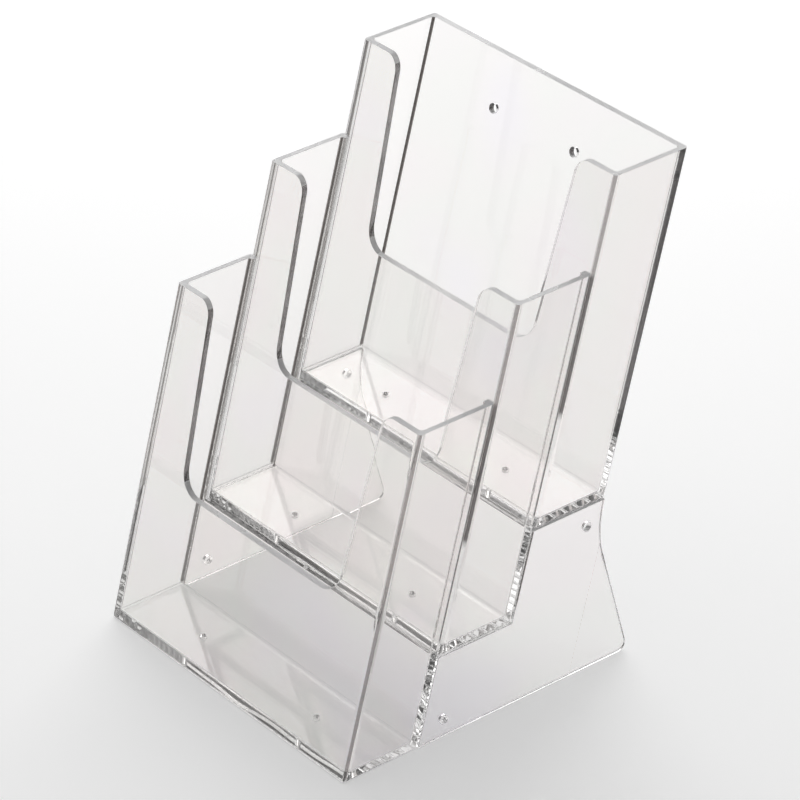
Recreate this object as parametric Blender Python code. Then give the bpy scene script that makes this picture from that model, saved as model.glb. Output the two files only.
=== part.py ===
"""Three-tier leaning brochure rack in clear moulded plastic, for A5 leaflets.

Five mouldings make the rack: a front, a middle and a rear pocket, bonded one behind the other in steps,
and two side plates that stand under the stepped pockets. Units are metres, +Z is up and the rack faces -Y.
The origin is the middle of the footprint box, on the table.
"""

import math

import bmesh
import bpy
from mathutils import Matrix, Vector

# Driving dimensions. A depth is measured along Y from the front face of the front pocket at the same height.
WIDTH = 0.158
LEAN = math.radians(15.6)
POCKET_PITCH = 0.0387
TIER_RISE = 0.0400
PANEL_HEIGHT = 0.1478
WALL = 0.0026
FLOOR = 0.0030
JOINT_GAP = 0.0003

# Front opening of each pocket: half widths at the lip and at the top, and its corner radii.
LIP_HEIGHT = 0.0682
OPENING_HALF_AT_LIP = 0.0516
OPENING_HALF_AT_TOP = 0.0565
OPENING_LOWER_RADIUS = 0.0105
OPENING_UPPER_RADIUS = 0.0070

# The frame behind the front and middle pockets: a low riser wall with a narrow flange up each side.
RISER_LAP = 0.0014
FLANGE_REACH = 0.0018

# Holes.
DIVIDER_HOLE_DIAMETER = 0.0030
DIVIDER_HOLE_HALF_SPACING = 0.0385
SCREW_HOLE_DIAMETER = 0.0044
SCREW_HOLES_X = (-0.0305, 0.0201)
SCREW_HOLE_BELOW_TOP = 0.0234
LINK_HOLE_DIAMETER = 0.0044
LOW_LINK_HOLE_FROM_EDGE = 0.0115
LOW_LINK_HOLE_HEIGHT = 0.0082
HIGH_LINK_HOLE_FROM_BACK = 0.0068
HIGH_LINK_HOLE_DROP = 0.0102

# Side plates of the stand: the rear edge leans with the back wall, then flares back to the foot.
FOOT_BACK = 0.1524
FLARE_START_DROP = 0.0140
FLARE_RADIUS = 0.0500
FOOT_RADIUS = 0.0040

# Moulded roundings.
OUTER_RADIUS = 0.0010
INNER_RADIUS = 0.0008
ROUNDING_SEGMENTS = 3
ARC_SEGMENTS = 10
HOLE_SEGMENTS = 32
CUT_MARGIN = 0.0100

TIERS = ("front_pocket", "middle_pocket", "rear_pocket")
SLOPE = math.tan(LEAN)
WALL_DEPTH = WALL / math.cos(LEAN)
HALF_WIDTH = WIDTH / 2
TOP = (len(TIERS) - 1) * TIER_RISE + PANEL_HEIGHT
FULL_DEPTH = len(TIERS) * POCKET_PITCH + SLOPE * TOP


def place(x, depth, z):
    """World point at this height, on the plane that leans back at this depth."""
    return Vector((x, depth + SLOPE * z - FULL_DEPTH / 2, z))


def clear_scene():
    for obj in list(bpy.data.objects):
        bpy.data.objects.remove(obj, do_unlink=True)


def clear_plastic(name, colour, roughness):
    material = bpy.data.materials.new(name)
    material.use_nodes = True
    shader = material.node_tree.nodes["Principled BSDF"]
    shader.inputs["Base Color"].default_value = (*colour, 1.0)
    shader.inputs["Metallic"].default_value = 0.0
    shader.inputs["Roughness"].default_value = roughness
    shader.inputs["IOR"].default_value = 1.59
    shader.inputs["Transmission Weight"].default_value = 1.0
    return material


def object_from(name, mesh_builder):
    mesh = bpy.data.meshes.new(name)
    bmesh.ops.recalc_face_normals(mesh_builder, faces=mesh_builder.faces)
    mesh_builder.to_mesh(mesh)
    mesh_builder.free()
    obj = bpy.data.objects.new(name, mesh)
    bpy.context.scene.collection.objects.link(obj)
    return obj


def leaning_block(name, x_range, depth_range, z_range, rounded=None, radius=0.0):
    """A box sheared along the lean. rounded(a, b) picks the edges to round from their end points."""
    builder = bmesh.new()
    corners = {}
    for i, x in enumerate(x_range):
        for j, depth in enumerate(depth_range):
            for k, z in enumerate(z_range):
                corners[i, j, k] = builder.verts.new(place(x, depth, z))
    loops = (
        ((0, 0, 0), (1, 0, 0), (1, 1, 0), (0, 1, 0)),
        ((0, 0, 1), (0, 1, 1), (1, 1, 1), (1, 0, 1)),
        ((0, 0, 0), (0, 0, 1), (1, 0, 1), (1, 0, 0)),
        ((0, 1, 0), (1, 1, 0), (1, 1, 1), (0, 1, 1)),
        ((0, 0, 0), (0, 1, 0), (0, 1, 1), (0, 0, 1)),
        ((1, 0, 0), (1, 0, 1), (1, 1, 1), (1, 1, 0)),
    )
    for loop in loops:
        builder.faces.new([corners[key] for key in loop])
    if rounded:
        edges = [edge for edge in builder.edges if rounded(edge.verts[0].co, edge.verts[1].co)]
        bmesh.ops.bevel(
            builder,
            geom=edges,
            offset=radius,
            segments=ROUNDING_SEGMENTS,
            affect="EDGES",
            profile=0.5,
        )
    return object_from(name, builder)


def prism(name, outline, direction):
    """A closed outline of points, extruded along a direction."""
    builder = bmesh.new()
    face = builder.faces.new([builder.verts.new(point) for point in outline])
    extruded = bmesh.ops.extrude_face_region(builder, geom=[face])
    moved = [item for item in extruded["geom"] if isinstance(item, bmesh.types.BMVert)]
    bmesh.ops.translate(builder, verts=moved, vec=direction)
    return object_from(name, builder)


def peg(name, diameter, length, centre, turn):
    """A cylinder about a centre, its own Z axis turned by a matrix."""
    builder = bmesh.new()
    bmesh.ops.create_cone(
        builder,
        cap_ends=True,
        segments=HOLE_SEGMENTS,
        radius1=diameter / 2,
        radius2=diameter / 2,
        depth=length,
        matrix=Matrix.Translation(centre) @ turn,
    )
    return object_from(name, builder)


def cut(target, cutter):
    """Subtracts a hidden cutter from the target."""
    cutter.hide_render = True
    cutter.display_type = "WIRE"
    cutter.parent = target
    modifier = target.modifiers.new("cut " + cutter.name, "BOOLEAN")
    modifier.operation = "DIFFERENCE"
    modifier.solver = "EXACT"
    modifier.object = cutter


def fillet(before, corner, after, radius):
    """Points of the arc that rounds a corner of a flat outline, from the first side to the second."""
    to_before = (before - corner).normalized()
    to_after = (after - corner).normalized()
    half = to_before.angle(to_after) / 2
    centre = corner + (to_before + to_after).normalized() * radius / math.sin(half)
    start = corner + to_before * radius / math.tan(half)
    sweep = math.pi - 2 * half
    turn = math.copysign(1.0, to_before.x * to_after.y - to_before.y * to_after.x)
    points = []
    for step in range(ARC_SEGMENTS + 1):
        angle = -turn * sweep * step / ARC_SEGMENTS
        points.append(centre + Matrix.Rotation(angle, 2) @ (start - centre))
    return points


def opening_outline(base):
    """The front opening as points of x and z, up past the top edge, for a pocket that stands at base."""
    lip = base + LIP_HEIGHT
    top = base + PANEL_HEIGHT
    left_lip = Vector((-OPENING_HALF_AT_LIP, lip))
    left_top = Vector((-OPENING_HALF_AT_TOP, top))
    left_far = Vector((-HALF_WIDTH, top))
    right_lip = Vector((OPENING_HALF_AT_LIP, lip))
    upper = fillet(left_far, left_top, left_lip, OPENING_UPPER_RADIUS)
    lower = fillet(left_top, left_lip, right_lip, OPENING_LOWER_RADIUS)
    above = Vector((upper[0].x, top + CUT_MARGIN))
    left = [above] + upper + lower
    right = [Vector((-point.x, point.y)) for point in reversed(left)]
    return left + right


def at_base_or_upright(base):
    """Picks a block's bottom edges and its leaning upright edges."""

    def picked(a, b):
        both_low = a.z < base + JOINT_GAP and b.z < base + JOINT_GAP
        return both_low or abs(a.z - b.z) > FLOOR

    return picked


def pocket_shell(name, tier, back_height):
    """A tier's pocket: floor, side walls, front panel with its opening, and a back wall of this height."""
    base = tier * TIER_RISE
    top = base + PANEL_HEIGHT
    front = tier * POCKET_PITCH
    back = front + POCKET_PITCH - JOINT_GAP
    inside = HALF_WIDTH - WALL
    rounded = at_base_or_upright(base)
    shell = leaning_block(name, (-HALF_WIDTH, HALF_WIDTH), (front, back), (base, top), rounded, OUTER_RADIUS)
    cavity = leaning_block(
        name + " cavity",
        (-inside, inside),
        (front + WALL_DEPTH, back - WALL_DEPTH),
        (base + FLOOR, top + CUT_MARGIN),
        at_base_or_upright(base + FLOOR),
        INNER_RADIUS,
    )
    cut(shell, cavity)
    outline = [place(point.x, front - CUT_MARGIN, point.y) for point in opening_outline(base)]
    through_front = Vector((0, CUT_MARGIN + WALL_DEPTH + CUT_MARGIN / 2, 0))
    cut(shell, prism(name + " opening", outline, through_front))
    for side in (-1, 1):
        centre = place(side * DIVIDER_HOLE_HALF_SPACING, (front + back) / 2, base + FLOOR / 2)
        hole = peg(f"{name} divider hole {side}", DIVIDER_HOLE_DIAMETER, CUT_MARGIN, centre, Matrix())
        cut(shell, hole)
    if back_height < PANEL_HEIGHT:
        gap_half = inside - FLANGE_REACH
        window = leaning_block(
            name + " window",
            (-gap_half, gap_half),
            (back - WALL_DEPTH - CUT_MARGIN / 2, back + CUT_MARGIN),
            (base + back_height, top + CUT_MARGIN),
        )
        cut(shell, window)
    return shell


def drill_screw_holes(pocket):
    """The two holes near the top of the back wall, square to the leaning wall."""
    height = TOP - SCREW_HOLE_BELOW_TOP
    depth = len(TIERS) * POCKET_PITCH - JOINT_GAP - WALL_DEPTH / 2
    square_to_wall = Matrix.Rotation(math.pi / 2 - LEAN, 4, "X")
    for index, x in enumerate(SCREW_HOLES_X):
        hole = peg(f"screw hole {index}", SCREW_HOLE_DIAMETER, CUT_MARGIN, place(x, depth, height), square_to_wall)
        cut(pocket, hole)


def stand_outline():
    """The side plate as points of y and z, stepped under the pockets and flared at the back."""

    def corner(depth, z):
        point = place(0, depth, z)
        return Vector((point.y, point.z))

    low = TIER_RISE - JOINT_GAP
    high = 2 * TIER_RISE - JOINT_GAP
    back_depth = len(TIERS) * POCKET_PITCH
    bottom_front = corner(POCKET_PITCH, 0)
    waist = corner(back_depth, high - FLARE_START_DROP)
    foot = Vector((FOOT_BACK - FULL_DEPTH / 2, 0))
    top_back = corner(back_depth, high)
    steps = [
        bottom_front,
        corner(POCKET_PITCH, low),
        corner(2 * POCKET_PITCH, low),
        corner(2 * POCKET_PITCH, high),
        top_back,
    ]
    flare = fillet(top_back, waist, foot, FLARE_RADIUS)
    toe = fillet(waist, foot, bottom_front, FOOT_RADIUS)
    return steps + flare + toe


def stand_side(name, side):
    """One side plate, flush with the pockets' side walls; side is -1 for the left and 1 for the right."""
    outer = side * HALF_WIDTH
    outline = [Vector((outer, point.x, point.y)) for point in stand_outline()]
    plate = prism(name, outline, Vector((-side * WALL, 0, 0)))
    across = Matrix.Rotation(math.pi / 2, 4, "Y")
    middle = side * (HALF_WIDTH - WALL / 2)
    low_hole = place(middle, POCKET_PITCH + LOW_LINK_HOLE_FROM_EDGE, LOW_LINK_HOLE_HEIGHT)
    high_hole = place(
        middle,
        len(TIERS) * POCKET_PITCH - HIGH_LINK_HOLE_FROM_BACK,
        2 * TIER_RISE - HIGH_LINK_HOLE_DROP,
    )
    for label, centre in (("low", low_hole), ("high", high_hole)):
        cut(plate, peg(f"{name} {label} link hole", LINK_HOLE_DIAMETER, CUT_MARGIN, centre, across))
    return plate


def finish(obj, material):
    obj.data.materials.append(material)
    obj.data.shade_smooth()
    obj.data.set_sharp_from_angle(angle=math.radians(30))


def build():
    clear_scene()
    plastic = clear_plastic("clear_polystyrene", (0.95, 0.955, 0.95), 0.03)
    parts = []
    for tier, name in enumerate(TIERS[:-1]):
        parts.append(pocket_shell(name, tier, TIER_RISE + RISER_LAP))
    rear = pocket_shell(TIERS[-1], len(TIERS) - 1, PANEL_HEIGHT)
    drill_screw_holes(rear)
    parts.append(rear)
    parts.append(stand_side("left_stand_side", -1))
    parts.append(stand_side("right_stand_side", 1))
    for part in parts:
        finish(part, plastic)


build()
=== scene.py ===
"""Looks for the three-tier brochure rack: clear moulded plastic on a pale studio floor.

Each CAD moulding is stood for by a finer one of the same shape, with moulded roundings on every edge.
Units are metres, +Z is up and the rack faces -Y.
"""

import math

import bmesh
import bpy
from mathutils import Matrix, Vector


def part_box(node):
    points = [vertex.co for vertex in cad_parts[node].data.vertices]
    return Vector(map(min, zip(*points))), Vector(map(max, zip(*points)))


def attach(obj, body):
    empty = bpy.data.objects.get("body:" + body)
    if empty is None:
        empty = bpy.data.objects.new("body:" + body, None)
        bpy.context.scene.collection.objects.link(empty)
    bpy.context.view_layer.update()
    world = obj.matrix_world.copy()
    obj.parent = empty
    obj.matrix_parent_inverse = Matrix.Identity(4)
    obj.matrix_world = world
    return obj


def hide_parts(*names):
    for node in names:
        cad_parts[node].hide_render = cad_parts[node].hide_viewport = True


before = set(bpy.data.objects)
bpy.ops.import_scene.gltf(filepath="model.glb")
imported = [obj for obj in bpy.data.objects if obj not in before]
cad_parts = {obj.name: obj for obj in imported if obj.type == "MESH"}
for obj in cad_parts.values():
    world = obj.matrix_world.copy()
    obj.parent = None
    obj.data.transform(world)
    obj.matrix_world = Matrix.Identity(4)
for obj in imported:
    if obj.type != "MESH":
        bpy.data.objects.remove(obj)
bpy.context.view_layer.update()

# Driving dimensions, as the CAD part has them.
LEAN = math.radians(15.6)
WALL = 0.0026
FLOOR = 0.0030
JOINT_GAP = 0.0003
LIP_HEIGHT = 0.0682
OPENING_HALF_AT_LIP = 0.0516
OPENING_HALF_AT_TOP = 0.0565
OPENING_LOWER_RADIUS = 0.0105
OPENING_UPPER_RADIUS = 0.0070
RISER_LAP = 0.0014
FLANGE_REACH = 0.0018
DIVIDER_HOLE_DIAMETER = 0.0030
DIVIDER_HOLE_HALF_SPACING = 0.0385
SCREW_HOLE_DIAMETER = 0.0044
SCREW_HOLES_X = (-0.0305, 0.0201)
SCREW_HOLE_BELOW_TOP = 0.0234
LINK_HOLE_DIAMETER = 0.0044
LOW_LINK_HOLE_FROM_EDGE = 0.0115
LOW_LINK_HOLE_HEIGHT = 0.0082
HIGH_LINK_HOLE_FROM_BACK = 0.0068
HIGH_LINK_HOLE_DROP = 0.0102
FLARE_START_DROP = 0.0140
FLARE_RADIUS = 0.0500
FOOT_RADIUS = 0.0040
FOOT_TIP_LOST = 0.00125  # how far the foot would reach past its rounding

# Roundings, larger than the CAD part's because they carry the plastic's edge lines.
OUTER_RADIUS = 0.0015
INNER_RADIUS = 0.0014
RIM_RADIUS = 0.0007
PLATE_EDGE_RADIUS = 0.0005
EDGE_RADIUS = 0.0002
SHARP_ANGLE = math.radians(40)

# Smoothness of the roundings, arcs and holes.
ROUNDING_SEGMENTS = 6
RIM_SEGMENTS = 5
PLATE_EDGE_SEGMENTS = 4
EDGE_SEGMENTS = 3
ARC_SEGMENTS = 20
HOLE_SEGMENTS = 48

# How far a cutter reaches past what it cuts.
CUT_MARGIN = 0.0100

# Points closer than this are one point.
WELD_DISTANCE = 2e-6

# The faint mould line down each side plate, a small step where the flare begins.
MOULD_LINE_STEP = 0.0003
MOULD_LINE_RADIUS = 0.00015
MOULD_LINE_SEGMENTS = 2

# Painted shade on the edges: how far up an edge stays clear and bright before its painted dark shade
# begins, and how much of a wall's end is painted dark.
POLYSTYRENE_IOR = 1.59
OPEN_BACK_EDGE_BRIGHT = 0.046
CLOSED_BACK_EDGE_BRIGHT = 0.025
OPEN_BACK_DARK_END = 0.0020
CLOSED_BACK_DARK_END = 0.0044

# A face's look depends on its direction, and around a hole on its size. The directions are cosines.
RIM_FACES_UP = 0.55
OPENING_FACES_SIDEWAYS = 0.3
FLAT_ON = 0.99
RUNS_ALONG_LEAN = 0.12
HOLE_FACES_UP = 0.2
HOLE_FACE_AREA = 3e-6

# Studio.
STUDIO_FLOOR_HALF_SIZE = 6.0
STUDIO_FLOOR_DROP = 0.0002
LIGHT_BOUNCES = 90
DIFFUSE_BOUNCES = 4

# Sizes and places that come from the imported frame.
TIERS = ("front_pocket", "middle_pocket", "rear_pocket")
SLOPE = math.tan(LEAN)
WALL_DEPTH = WALL / math.cos(LEAN)
FRONT_LOW, FRONT_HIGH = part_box("front_pocket")
MIDDLE_LOW, MIDDLE_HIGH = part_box("middle_pocket")
_, STAND_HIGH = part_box("left_stand_side")
HALF_WIDTH = (FRONT_HIGH.x - FRONT_LOW.x) / 2
TIER_RISE = MIDDLE_LOW.z - FRONT_LOW.z
PANEL_HEIGHT = FRONT_HIGH.z - FRONT_LOW.z
POCKET_PITCH = MIDDLE_HIGH.y - FRONT_HIGH.y - SLOPE * TIER_RISE
FRONT_EDGE_Y = FRONT_HIGH.y + JOINT_GAP - SLOPE * PANEL_HEIGHT - POCKET_PITCH
FOOT_BACK = STAND_HIGH.y + FOOT_TIP_LOST
TOP = (len(TIERS) - 1) * TIER_RISE + PANEL_HEIGHT
STAND_BACK = len(TIERS) * POCKET_PITCH
MOULD_LINE_DEPTH = STAND_BACK + POCKET_PITCH / 12


def place(x, depth, z):
    """World point at this height, on the plane that leans back at this depth."""
    return Vector((x, FRONT_EDGE_Y + depth + SLOPE * z, z))


def object_from(name, builder):
    """An object in the scene with the builder's mesh, its faces turned outwards."""
    mesh = bpy.data.meshes.new(name)
    bmesh.ops.recalc_face_normals(builder, faces=builder.faces)
    builder.to_mesh(mesh)
    builder.free()
    obj = bpy.data.objects.new(name, mesh)
    bpy.context.scene.collection.objects.link(obj)
    return obj


def leaning_block(name, x_range, depth_range, z_range, rounded=None, radius=0.0):
    """A box sheared along the lean. rounded(a, b) picks the edges to round from their end points."""
    builder = bmesh.new()
    corners = {}
    for i, x in enumerate(x_range):
        for j, depth in enumerate(depth_range):
            for k, z in enumerate(z_range):
                corners[i, j, k] = builder.verts.new(place(x, depth, z))
    loops = (
        ((0, 0, 0), (1, 0, 0), (1, 1, 0), (0, 1, 0)),
        ((0, 0, 1), (0, 1, 1), (1, 1, 1), (1, 0, 1)),
        ((0, 0, 0), (0, 0, 1), (1, 0, 1), (1, 0, 0)),
        ((0, 1, 0), (1, 1, 0), (1, 1, 1), (0, 1, 1)),
        ((0, 0, 0), (0, 1, 0), (0, 1, 1), (0, 0, 1)),
        ((1, 0, 0), (1, 0, 1), (1, 1, 1), (1, 1, 0)),
    )
    for loop in loops:
        builder.faces.new([corners[key] for key in loop])
    if rounded:
        edges = [edge for edge in builder.edges if rounded(edge.verts[0].co, edge.verts[1].co)]
        bmesh.ops.bevel(
            builder,
            geom=edges,
            offset=radius,
            segments=ROUNDING_SEGMENTS,
            affect="EDGES",
            profile=0.5,
        )
    return object_from(name, builder)


def prism(name, outline, direction):
    """A closed outline of points, extruded along a direction."""
    builder = bmesh.new()
    face = builder.faces.new([builder.verts.new(point) for point in outline])
    extruded = bmesh.ops.extrude_face_region(builder, geom=[face])
    moved = [item for item in extruded["geom"] if isinstance(item, bmesh.types.BMVert)]
    bmesh.ops.translate(builder, verts=moved, vec=direction)
    return object_from(name, builder)


def peg(name, diameter, length, centre, turn):
    """A cylinder about a centre, its own Z axis turned by a matrix."""
    builder = bmesh.new()
    bmesh.ops.create_cone(
        builder,
        cap_ends=True,
        segments=HOLE_SEGMENTS,
        radius1=diameter / 2,
        radius2=diameter / 2,
        depth=length,
        matrix=Matrix.Translation(centre) @ turn,
    )
    return object_from(name, builder)


def fillet(before, corner, after, radius):
    """Points of the arc that rounds a corner of a flat outline, from the first side to the second."""
    to_before = (before - corner).normalized()
    to_after = (after - corner).normalized()
    half = to_before.angle(to_after) / 2
    centre = corner + (to_before + to_after).normalized() * radius / math.sin(half)
    start = corner + to_before * radius / math.tan(half)
    sweep = math.pi - 2 * half
    turn = math.copysign(1.0, to_before.x * to_after.y - to_before.y * to_after.x)
    points = []
    for step in range(ARC_SEGMENTS + 1):
        angle = -turn * sweep * step / ARC_SEGMENTS
        points.append(centre + Matrix.Rotation(angle, 2) @ (start - centre))
    return points


def opening_outline(base):
    """The front opening as points of x and z, up past the top edge, for a pocket that stands at base."""
    lip = base + LIP_HEIGHT
    top = base + PANEL_HEIGHT
    left_lip = Vector((-OPENING_HALF_AT_LIP, lip))
    left_top = Vector((-OPENING_HALF_AT_TOP, top))
    left_far = Vector((-HALF_WIDTH, top))
    right_lip = Vector((OPENING_HALF_AT_LIP, lip))
    upper = fillet(left_far, left_top, left_lip, OPENING_UPPER_RADIUS)
    lower = fillet(left_top, left_lip, right_lip, OPENING_LOWER_RADIUS)
    above = Vector((upper[0].x, top + CUT_MARGIN))
    left = [above] + upper + lower
    right = [Vector((-point.x, point.y)) for point in reversed(left)]
    return left + right


def at_base_or_upright(base):
    """Picks a block's bottom edges and its leaning upright edges."""

    def picked(a, b):
        both_low = a.z < base + JOINT_GAP and b.z < base + JOINT_GAP
        return both_low or abs(a.z - b.z) > FLOOR

    return picked


def carve(target, cutters, edge_radius, segments):
    """Cuts the cutters out of the target, rounds the edges that this leaves sharp, and keeps the result."""
    for index, cutter in enumerate(cutters):
        modifier = target.modifiers.new(f"cut {index}", "BOOLEAN")
        modifier.operation = "DIFFERENCE"
        modifier.solver = "EXACT"
        modifier.object = cutter
    rounding = target.modifiers.new("edge rounding", "BEVEL")
    rounding.limit_method = "ANGLE"
    rounding.angle_limit = SHARP_ANGLE
    rounding.width = edge_radius
    rounding.segments = segments
    normals = target.modifiers.new("flat faces stay flat", "WEIGHTED_NORMAL")
    normals.mode = "FACE_AREA"
    normals.weight = 100
    target.data.shade_smooth()
    bpy.context.view_layer.update()
    graph = bpy.context.evaluated_depsgraph_get()
    made = bpy.data.meshes.new_from_object(target.evaluated_get(graph))
    target.modifiers.clear()
    weld(made)
    target.data = made
    for cutter in cutters:
        bpy.data.objects.remove(cutter)


def weld(mesh):
    """Joins points that a cut or a rounding left in one place, so no face is without area."""
    builder = bmesh.new()
    builder.from_mesh(mesh)
    bmesh.ops.remove_doubles(builder, verts=builder.verts, dist=WELD_DISTANCE)
    bmesh.ops.dissolve_degenerate(builder, edges=builder.edges, dist=WELD_DISTANCE)
    builder.to_mesh(mesh)
    builder.free()


def pocket(tier, back_height):
    """A tier's pocket: floor, side walls, front panel with its opening, and a back wall of this height."""
    node = TIERS[tier]
    base = tier * TIER_RISE
    top = base + PANEL_HEIGHT
    front = tier * POCKET_PITCH
    back = front + POCKET_PITCH - JOINT_GAP
    inside = HALF_WIDTH - WALL
    shell = leaning_block(
        node + "_moulding",
        (-HALF_WIDTH, HALF_WIDTH),
        (front, back),
        (base, top),
        at_base_or_upright(base),
        OUTER_RADIUS,
    )
    cavity = leaning_block(
        "cavity",
        (-inside, inside),
        (front + WALL_DEPTH, back - WALL_DEPTH),
        (base + FLOOR, top + CUT_MARGIN),
        at_base_or_upright(base + FLOOR),
        INNER_RADIUS,
    )
    outline = [place(point.x, front - CUT_MARGIN, point.y) for point in opening_outline(base)]
    through_front = Vector((0, CUT_MARGIN + WALL_DEPTH + CUT_MARGIN / 2, 0))
    carve(shell, [cavity, prism("opening", outline, through_front)], RIM_RADIUS, RIM_SEGMENTS)
    cutters = []
    for side in (-1, 1):
        centre = place(side * DIVIDER_HOLE_HALF_SPACING, (front + back) / 2, base + FLOOR / 2)
        cutters.append(peg("divider hole", DIVIDER_HOLE_DIAMETER, CUT_MARGIN, centre, Matrix()))
    if back_height < PANEL_HEIGHT:
        gap_half = inside - FLANGE_REACH
        cutters.append(
            leaning_block(
                "window",
                (-gap_half, gap_half),
                (back - WALL_DEPTH - CUT_MARGIN / 2, back + CUT_MARGIN),
                (base + back_height, top + CUT_MARGIN),
            )
        )
    else:
        cutters += screw_hole_pegs()
    carve(shell, cutters, EDGE_RADIUS, EDGE_SEGMENTS)
    return stand_for(shell, node)


def screw_hole_pegs():
    """The two holes near the top of the back wall, square to the leaning wall."""
    height = TOP - SCREW_HOLE_BELOW_TOP
    depth = STAND_BACK - JOINT_GAP - WALL_DEPTH / 2
    square_to_wall = Matrix.Rotation(math.pi / 2 - LEAN, 4, "X")
    return [
        peg("screw hole", SCREW_HOLE_DIAMETER, CUT_MARGIN, place(x, depth, height), square_to_wall)
        for x in SCREW_HOLES_X
    ]


def stand_outline():
    """The side plate as points of y and z, stepped under the pockets and flared at the back."""

    def corner(depth, z):
        point = place(0, depth, z)
        return Vector((point.y, point.z))

    low = TIER_RISE - JOINT_GAP
    high = 2 * TIER_RISE - JOINT_GAP
    bottom_front = corner(POCKET_PITCH, 0)
    waist = corner(STAND_BACK, high - FLARE_START_DROP)
    foot = Vector((FOOT_BACK, 0))
    top_back = corner(STAND_BACK, high)
    steps = [
        bottom_front,
        corner(POCKET_PITCH, low),
        corner(2 * POCKET_PITCH, low),
        corner(2 * POCKET_PITCH, high),
        top_back,
    ]
    flare = fillet(top_back, waist, foot, FLARE_RADIUS)
    toe = fillet(waist, foot, bottom_front, FOOT_RADIUS)
    return steps + flare + toe


def stand_side(node, side):
    """One side plate, flush with the pockets' side walls; side is -1 for the left and 1 for the right."""
    outline = [Vector((side * HALF_WIDTH, point.x, point.y)) for point in stand_outline()]
    plate = prism(node + "_moulding", outline, Vector((-side * WALL, 0, 0)))
    carve(plate, [], PLATE_EDGE_RADIUS, PLATE_EDGE_SEGMENTS)
    carve(plate, link_hole_pegs(side), EDGE_RADIUS, EDGE_SEGMENTS)
    step = leaning_block(
        "step",
        (side * (HALF_WIDTH - MOULD_LINE_STEP), side * (HALF_WIDTH + CUT_MARGIN)),
        (MOULD_LINE_DEPTH, STAND_BACK + 2 * POCKET_PITCH),
        (-CUT_MARGIN, 2 * TIER_RISE),
    )
    carve(plate, [step], MOULD_LINE_RADIUS, MOULD_LINE_SEGMENTS)
    return stand_for(plate, node)


def link_hole_pegs(side):
    """The hole near the front foot and the one near the top rear, straight through a side plate."""
    middle = side * (HALF_WIDTH - WALL / 2)
    across = Matrix.Rotation(math.pi / 2, 4, "Y")
    low = place(middle, POCKET_PITCH + LOW_LINK_HOLE_FROM_EDGE, LOW_LINK_HOLE_HEIGHT)
    high = place(middle, STAND_BACK - HIGH_LINK_HOLE_FROM_BACK, 2 * TIER_RISE - HIGH_LINK_HOLE_DROP)
    return [peg("link hole", LINK_HOLE_DIAMETER, CUT_MARGIN, centre, across) for centre in (low, high)]


def stand_for(piece, node):
    """The piece rides on the frame in place of the CAD node of that name."""
    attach(piece, "root")
    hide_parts(node)
    return piece


def look_of(face, base, front, is_pocket):
    """The name of the look that a face takes, on a piece whose tier starts at this base and front."""
    normal = face.normal
    centre = face.center
    above_lip = centre.z > base + LIP_HEIGHT - OPENING_LOWER_RADIUS
    in_opening = abs(centre.x) < OPENING_HALF_AT_TOP + OPENING_UPPER_RADIUS
    if above_lip and normal.z > RIM_FACES_UP:
        return "rim"
    if above_lip and in_opening and abs(normal.x) > OPENING_FACES_SIDEWAYS:
        return "opening edge"
    if is_pocket and abs(normal.x) > FLAT_ON and abs(centre.x) > HALF_WIDTH - JOINT_GAP:
        return "outer side"
    if not is_upright_edge(normal, face.area):
        return "wall"
    if centre.x > 0 and depth_in_tier(centre, front) < POCKET_PITCH / 2:
        return "right front edge" if centre.x > HALF_WIDTH - WALL else "wall"
    return "upright edge"


def is_upright_edge(normal, area):
    """True on the rounding of an edge that runs up along the lean."""
    along_lean = Vector((0, math.sin(LEAN), math.cos(LEAN)))
    square_to_lean = Vector((0, math.cos(LEAN), -math.sin(LEAN)))
    is_flat = max(abs(normal.x), abs(normal.dot(square_to_lean))) > FLAT_ON
    runs_along = abs(normal.dot(along_lean)) < RUNS_ALONG_LEAN
    at_hole = area < HOLE_FACE_AREA and abs(normal.z) < HOLE_FACES_UP
    return runs_along and not is_flat and not at_hole


def depth_in_tier(point, front):
    """How far a point is behind the leaning front face of its tier."""
    return point.y - FRONT_EDGE_Y - SLOPE * point.z - front


def dress(piece, tier, looks):
    """Gives the faces of a piece their looks, and its points what the edges' painted shade is worked out
    from.
    """
    base = tier * TIER_RISE
    front = tier * POCKET_PITCH
    is_pocket = "pocket" in piece.name
    names = list(looks)
    piece.data.materials.clear()
    for look in looks.values():
        piece.data.materials.append(look)
    for face in piece.data.polygons:
        face.material_index = names.index(look_of(face, base, front, is_pocket))
    # over_bright and past_end place the painted shade on the edges and on the rear wall's end.
    over_bright = piece.data.attributes.new("over_bright", "FLOAT", "POINT")
    past_end = piece.data.attributes.new("past_end", "FLOAT", "POINT")
    for vertex, over, past in zip(piece.data.vertices, over_bright.data, past_end.data):
        over.value, past.value = edge_measures(vertex.co, tier)


def edge_measures(point, tier):
    """A point's height over the clear, bright stretch of edge below its painted shade, and how far it is
    into the rear wall's painted dark end.
    """
    depth = depth_in_tier(point, tier * POCKET_PITCH)
    height = point.z - tier * TIER_RISE
    has_back = tier == len(TIERS) - 1
    on_right = point.x > 0
    at_front = depth < POCKET_PITCH / 2
    dark_end = CLOSED_BACK_DARK_END if has_back and on_right else OPEN_BACK_DARK_END
    past_end = depth - POCKET_PITCH + JOINT_GAP + dark_end
    if not (has_back or on_right):
        past_end = -POCKET_PITCH
    if not on_right or (at_front and tier == 0):
        return PANEL_HEIGHT, past_end
    if has_back and not at_front:
        return height - CLOSED_BACK_EDGE_BRIGHT, past_end
    return height - OPEN_BACK_EDGE_BRIGHT, past_end


def noise(nodes, links, place_in, scale, detail):
    """Procedural noise between 0 and 1 over the piece."""
    texture = nodes.new("ShaderNodeTexNoise")
    texture.inputs["Scale"].default_value = scale
    texture.inputs["Detail"].default_value = detail
    links.new(place_in, texture.inputs["Vector"])
    return texture.outputs["Fac"]


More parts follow.
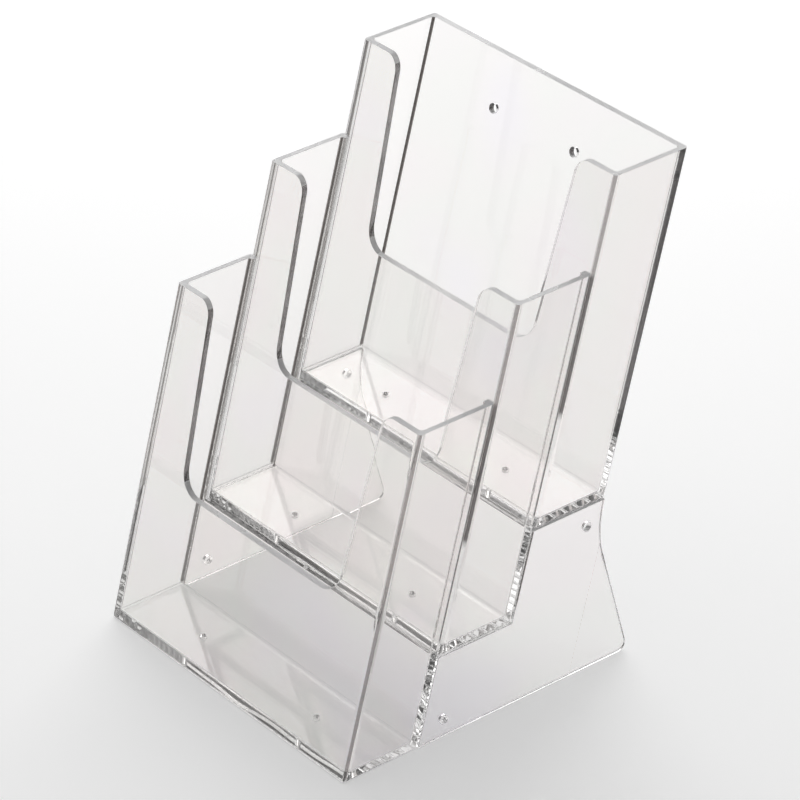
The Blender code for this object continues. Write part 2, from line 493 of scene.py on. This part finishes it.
def ranged(nodes, links, value, from_range, to_range):
    """The value taken from one range to another, and held at the ends."""
    spread = nodes.new("ShaderNodeMapRange")
    spread.inputs["From Min"].default_value, spread.inputs["From Max"].default_value = from_range
    spread.inputs["To Min"].default_value, spread.inputs["To Max"].default_value = to_range
    links.new(value, spread.inputs["Value"])
    return spread.outputs["Result"]


def ramp(nodes, links, value, stops):
    """The colour that the stops give at this value."""
    colours = nodes.new("ShaderNodeValToRGB")
    elements = colours.color_ramp.elements
    while len(elements) < len(stops):
        elements.new(0.5)
    for element, (position, colour) in zip(elements, stops):
        element.position = position
        element.color = colour
    links.new(value, colours.inputs["Fac"])
    return colours.outputs["Color"]


def flow_and_scratches(nodes, links, shader, roughness_range, bump_depth):
    """Varying polish with hairline scratches, and the slow waviness of moulded plastic."""
    place_in = nodes.new("ShaderNodeTexCoord").outputs["Object"]
    stretch = nodes.new("ShaderNodeMapping")
    stretch.inputs["Scale"].default_value = (260, 14, 90)
    stretch.inputs["Rotation"].default_value = (0.3, 0.5, 0.2)
    links.new(place_in, stretch.inputs["Vector"])
    hairlines = noise(nodes, links, stretch.outputs["Vector"], 1.0, 2)
    scratched = ranged(nodes, links, hairlines, (0.66, 0.74), (0, 0.05))
    polish = ranged(nodes, links, noise(nodes, links, place_in, 30, 3), (0.3, 0.7), roughness_range)
    total = nodes.new("ShaderNodeMath")
    total.operation = "ADD"
    links.new(polish, total.inputs[0])
    links.new(scratched, total.inputs[1])
    links.new(total.outputs[0], shader.inputs["Roughness"])
    bump = nodes.new("ShaderNodeBump")
    bump.inputs["Strength"].default_value = 0.2
    bump.inputs["Distance"].default_value = bump_depth
    links.new(noise(nodes, links, place_in, 22, 1), bump.inputs["Height"])
    links.new(bump.outputs["Normal"], shader.inputs["Normal"])
    return place_in


def glassy(name):
    """A new material, its nodes and links, and its shader, which passes light as polystyrene does."""
    material = bpy.data.materials.new(name)
    material.use_nodes = True
    shader = material.node_tree.nodes["Principled BSDF"]
    shader.inputs["IOR"].default_value = POLYSTYRENE_IOR
    shader.inputs["Transmission Weight"].default_value = 1.0
    return material, material.node_tree.nodes, material.node_tree.links, shader


def wall_look():
    """Clear wall with faint stress colours, as in moulded styrene."""
    material, nodes, links, shader = glassy("clear_polystyrene")
    place_in = flow_and_scratches(nodes, links, shader, (0.004, 0.014), 0.0004)
    stress = noise(nodes, links, place_in, 16, 1)
    tints = (
        (0.30, (0.962, 0.934, 0.936, 1)),
        (0.42, (0.958, 0.942, 0.932, 1)),
        (0.50, (0.948, 0.948, 0.932, 1)),
        (0.58, (0.955, 0.940, 0.936, 1)),
        (0.70, (0.948, 0.930, 0.956, 1)),
    )
    links.new(ramp(nodes, links, stress, tints), shader.inputs["Base Color"])
    return material


def painted_shade_mask(nodes, links, place_in):
    """Mask of the painted shade: 1 where an edge is high enough to be painted dark, 0 on its clear, bright
    stretch, with a grainy change between.
    """
    height = nodes.new("ShaderNodeAttribute")
    height.attribute_name = "over_bright"
    grain = ranged(nodes, links, noise(nodes, links, place_in, 400, 2), (0, 1), (-0.004, 0.004))
    total = nodes.new("ShaderNodeMath")
    total.operation = "ADD"
    links.new(height.outputs["Fac"], total.inputs[0])
    links.new(grain, total.inputs[1])
    return ranged(nodes, links, total.outputs[0], (-0.002, 0.003), (0, 1))


def upright_edge_painted_shade_look():
    """Rounded upright edge with painted shade: painted near black where the wall leads light away, left
    clear and bright near the floor on the right.
    """
    material, nodes, links, shader = glassy("clear_polystyrene_upright_edge_painted_shade")
    place_in = flow_and_scratches(nodes, links, shader, (0.006, 0.03), 0.0003)
    dark = painted_shade_mask(nodes, links, place_in)
    shades = ((0, (0.95, 0.95, 0.94, 1)), (1, (0.085, 0.075, 0.07, 1)))
    links.new(ramp(nodes, links, dark, shades), shader.inputs["Base Color"])
    return material


def outer_side_painted_shade_look():
    """Outer side of a pocket: clear, with a near black painted shade over the end of the rear wall, which
    leads light away.
    """
    material, nodes, links, shader = glassy("clear_polystyrene_side_painted_shade")
    place_in = flow_and_scratches(nodes, links, shader, (0.004, 0.014), 0.0004)
    distance = nodes.new("ShaderNodeAttribute")
    distance.attribute_name = "past_end"
    at_end = ranged(nodes, links, distance.outputs["Fac"], (0, 0.0003), (0, 1))
    strip = nodes.new("ShaderNodeMath")
    strip.operation = "MULTIPLY"
    links.new(at_end, strip.inputs[0])
    links.new(painted_shade_mask(nodes, links, place_in), strip.inputs[1])
    shades = ((0, (0.955, 0.942, 0.938, 1)), (1, (0.022, 0.019, 0.019, 1)))
    links.new(ramp(nodes, links, strip.outputs[0], shades), shader.inputs["Base Color"])
    return material


def right_front_edge_painted_shade_look():
    """Right front edge: bright low down, painted dark shade where the next pocket forward meets it, painted
    grey shade above that.
    """
    material, nodes, links, shader = glassy("clear_polystyrene_right_front_edge_painted_shade")
    flow_and_scratches(nodes, links, shader, (0.006, 0.03), 0.0003)
    height = nodes.new("ShaderNodeAttribute")
    height.attribute_name = "over_bright"
    along = ranged(nodes, links, height.outputs["Fac"], (0, PANEL_HEIGHT - OPEN_BACK_EDGE_BRIGHT), (0, 1))
    meeting = (PANEL_HEIGHT - TIER_RISE - OPEN_BACK_EDGE_BRIGHT) / (PANEL_HEIGHT - OPEN_BACK_EDGE_BRIGHT)
    shades = (
        (0.00, (0.90, 0.90, 0.90, 1)),
        (0.04, (0.035, 0.030, 0.030, 1)),
        (meeting - 0.02, (0.035, 0.030, 0.030, 1)),
        (meeting, (0.21, 0.19, 0.19, 1)),
    )
    links.new(ramp(nodes, links, along, shades), shader.inputs["Base Color"])
    return material


def opening_edge_painted_shade_look():
    """Side of the cut-out: painted shade, a dark line of slightly uneven tone."""
    material, nodes, links, shader = glassy("clear_polystyrene_opening_edge_painted_shade")
    place_in = flow_and_scratches(nodes, links, shader, (0.006, 0.03), 0.0003)
    shades = ((0.3, (0.030, 0.026, 0.026, 1)), (0.7, (0.080, 0.074, 0.072, 1)))
    tone = noise(nodes, links, place_in, 60, 2)
    links.new(ramp(nodes, links, tone, shades), shader.inputs["Base Color"])
    return material


def rim_painted_light_look():
    """Top rim: slightly satin, and part diffuse with a painted light grey, so it reads as a light grey
    line.
    """
    material, nodes, links, shader = glassy("clear_polystyrene_rim_painted_light")
    place_in = flow_and_scratches(nodes, links, shader, (0.22, 0.38), 0.0003)
    shader.inputs["Transmission Weight"].default_value = 0.55
    shades = ((0.3, (0.78, 0.78, 0.79, 1)), (0.7, (0.90, 0.90, 0.90, 1)))
    tone = noise(nodes, links, place_in, 80, 2)
    links.new(ramp(nodes, links, tone, shades), shader.inputs["Base Color"])
    return material


def pale_floor():
    """A large plain floor just under the rack."""
    half = STUDIO_FLOOR_HALF_SIZE
    corners = [(-half, -half, 0), (half, -half, 0), (half, half, 0), (-half, half, 0)]
    mesh = bpy.data.meshes.new("studio_floor")
    mesh.from_pydata(corners, [], [(0, 1, 2, 3)])
    floor = bpy.data.objects.new("studio_floor", mesh)
    bpy.context.scene.collection.objects.link(floor)
    floor.location.z = -STUDIO_FLOOR_DROP
    material = bpy.data.materials.new("pale_floor")
    material.use_nodes = True
    shader = material.node_tree.nodes["Principled BSDF"]
    shader.inputs["Base Color"].default_value = (0.80, 0.80, 0.80, 1.0)
    shader.inputs["Roughness"].default_value = 0.6
    shader.inputs["Specular IOR Level"].default_value = 0.1
    shader.inputs["Emission Color"].default_value = (1, 1, 1, 1)
    shader.inputs["Emission Strength"].default_value = 0.45
    mesh.materials.append(material)


def softbox(name, location, target, width, height, power):
    """A rectangular area light that faces a target."""
    light = bpy.data.lights.new(name, "AREA")
    light.shape = "RECTANGLE"
    light.size = width
    light.size_y = height
    light.energy = power
    lamp = bpy.data.objects.new(name, light)
    bpy.context.scene.collection.objects.link(lamp)
    lamp.location = location
    lamp.rotation_euler = (Vector(target) - Vector(location)).to_track_quat("-Z", "Y").to_euler()


def sky():
    """Soft white light from all round, faint at the horizon and strong overhead."""
    world = bpy.data.worlds.new("studio")
    bpy.context.scene.world = world
    world.use_nodes = True
    nodes = world.node_tree.nodes
    links = world.node_tree.links
    direction = nodes.new("ShaderNodeTexCoord")
    split = nodes.new("ShaderNodeSeparateXYZ")
    links.new(direction.outputs["Generated"], split.inputs["Vector"])
    strength = ranged(nodes, links, split.outputs["Z"], (0.05, 0.85), (0.3, 2.4))
    links.new(strength, nodes["Background"].inputs["Strength"])


def studio():
    """Sky, two softboxes, and enough light bounces to follow light along the inside of a wall."""
    sky()
    softbox("overhead", (-0.2, 0.25, 1.2), (-0.1, 0.15, 0), 1.4, 1.4, 4)
    softbox("rear window", (-1.0, 0.8, 0.85), (0, 0, 0.1), 1.6, 1.2, 13)
    scene = bpy.context.scene
    scene.view_settings.view_transform = "Standard"
    scene.cycles.max_bounces = LIGHT_BOUNCES
    scene.cycles.glossy_bounces = LIGHT_BOUNCES
    scene.cycles.transmission_bounces = LIGHT_BOUNCES
    scene.cycles.diffuse_bounces = DIFFUSE_BOUNCES


def camera():
    """The main view, from the front right and above, with the camera rolled very slightly."""
    azimuth = math.radians(51.24)
    elevation = math.radians(31.07)
    roll = math.radians(-0.635)
    distance = 1.756
    target = Vector((0.0580, -0.0416, 0.1518))
    right = Vector((math.cos(azimuth), math.sin(azimuth), 0))
    level_back = Vector((math.sin(azimuth), -math.cos(azimuth), 0))
    back = level_back * math.cos(elevation) + Vector((0, 0, math.sin(elevation)))
    up = back.cross(right)
    rolled_right = right * math.cos(roll) + up * math.sin(roll)
    rolled_up = up * math.cos(roll) - right * math.sin(roll)
    data = bpy.data.cameras.new("main view")
    data.lens = 201.4
    data.clip_start = 0.05
    data.clip_end = 50
    rig = bpy.data.objects.new("main view", data)
    bpy.context.scene.collection.objects.link(rig)
    rotation = Matrix((rolled_right, rolled_up, back)).transposed()
    rig.matrix_world = Matrix.Translation(target + back * distance) @ rotation.to_4x4()
    bpy.context.scene.camera = rig


looks = {
    "wall": wall_look(),
    "upright edge": upright_edge_painted_shade_look(),
    "opening edge": opening_edge_painted_shade_look(),
    "rim": rim_painted_light_look(),
    "right front edge": right_front_edge_painted_shade_look(),
    "outer side": outer_side_painted_shade_look(),
}
for tier, back_height in enumerate((TIER_RISE + RISER_LAP, TIER_RISE + RISER_LAP, PANEL_HEIGHT)):
    dress(pocket(tier, back_height), tier, looks)
for node, side in (("left_stand_side", -1), ("right_stand_side", 1)):
    dress(stand_side(node, side), 0, looks)
pale_floor()
studio()
camera()
